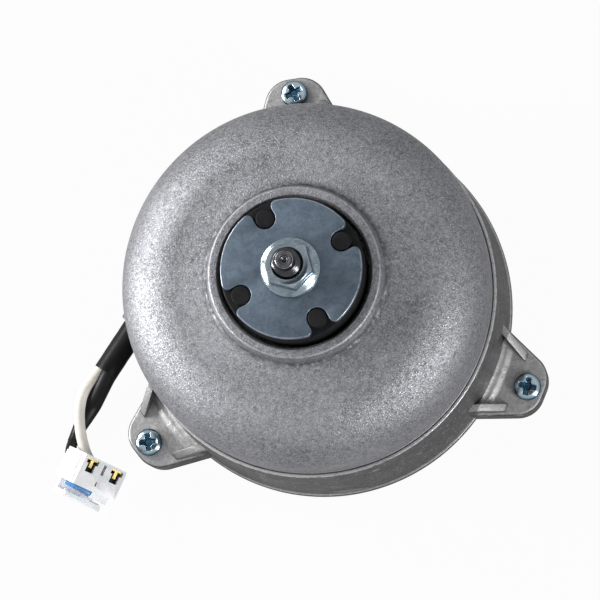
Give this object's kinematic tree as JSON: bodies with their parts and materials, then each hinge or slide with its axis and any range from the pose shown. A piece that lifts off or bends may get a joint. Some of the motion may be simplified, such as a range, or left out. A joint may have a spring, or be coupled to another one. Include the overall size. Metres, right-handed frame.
{
  "type": "fan motor",
  "caption": "Round electric fan motor with a domed cast housing, screw lugs, a rubber-damped clamp hub with a flange nut, and a short two-wire lead with a connector.",
  "frame": {"origin": "on the shaft axis at the flat rear face of the rear cover", "axes": "+Z along the shaft, out of the front; +Y towards one of the screw lugs"},
  "size_m": [0.1571, 0.1323, 0.094],
  "materials": {
    "cast_front": "sand-blasted casting",
    "cast_body": "as-cast, satin",
    "zinc_screw": "blue-white zinc plate",
    "lamination": "laminated, matt",
    "copper_wire": "enamelled",
    "insulator": "moulded",
    "circuit_board": "lacquered",
    "board_parts": "moulded",
    "magnet": "sintered",
    "bright_steel": "turned",
    "bearing_steel": "ground",
    "brass_cage": "pressed",
    "black_rubber": "moulded",
    "zinc_disc": "zinc-plated sheet",
    "zinc_nut": "zinc plate",
    "sleeve_plastic": "soft, satin",
    "white_insulation": "satin",
    "black_insulation": "satin",
    "white_nylon": "moulded",
    "contact_brass": "tinned brass",
    "blue_nylon": "moulded"
  },
  "bodies": {
    "housing": {"front_shell": "cast_front", "body_shell": "cast_body", "rear_cover": "cast_body", "lug_screws": "zinc_screw", "through_bolts": "zinc_screw", "stator_core": "lamination", "stator_coils": "copper_wire", "front_insulator": "insulator", "rear_insulator": "insulator", "drive_board": "circuit_board", "board_parts": "board_parts", "board_screws": "zinc_screw", "front_bearing_outer": "bearing_steel", "rear_bearing_outer": "bearing_steel", "wave_washer": "bearing_steel", "lead_grommet": "black_rubber", "lead_sleeve": "sleeve_plastic", "white_wire": "white_insulation", "black_wire": "black_insulation", "connector_housing": "white_nylon", "connector_contacts": "contact_brass", "connector_retainer": "blue_nylon"},
    "rotor": {"rotor_core": "lamination", "magnet_ring": "magnet", "shaft": "bright_steel", "front_bearing_inner": "bearing_steel", "rear_bearing_inner": "bearing_steel", "spacer_sleeve": "bright_steel", "drive_flange": "zinc_disc", "hub_bush": "bright_steel", "rubber_damper": "black_rubber", "clamp_disc": "zinc_disc", "flange_nut": "zinc_nut"},
    "front_balls": {"front_bearing_balls": "bearing_steel", "front_bearing_cage": "brass_cage"},
    "rear_balls": {"rear_bearing_balls": "bearing_steel", "rear_bearing_cage": "brass_cage"}
  },
  "joints": [
    {"name": "rotor_spin", "type": "hinge", "parent": "housing", "child": "rotor", "pos_m": [0, 0, 0.05], "axis": [0, 0, 1], "continuous": true},
    {"name": "front_ball_spin", "type": "hinge", "parent": "housing", "child": "front_balls", "pos_m": [0, 0, 0.056], "axis": [0, 0, 1], "continuous": true},
    {"name": "rear_ball_spin", "type": "hinge", "parent": "housing", "child": "rear_balls", "pos_m": [0, 0, 0.018], "axis": [0, 0, 1], "continuous": true}
  ],
  "couplings": [
    {"joint": "front_ball_spin", "follows": "rotor_spin", "ratio": 0.37},
    {"joint": "rear_ball_spin", "follows": "rotor_spin", "ratio": 0.37}
  ]
}
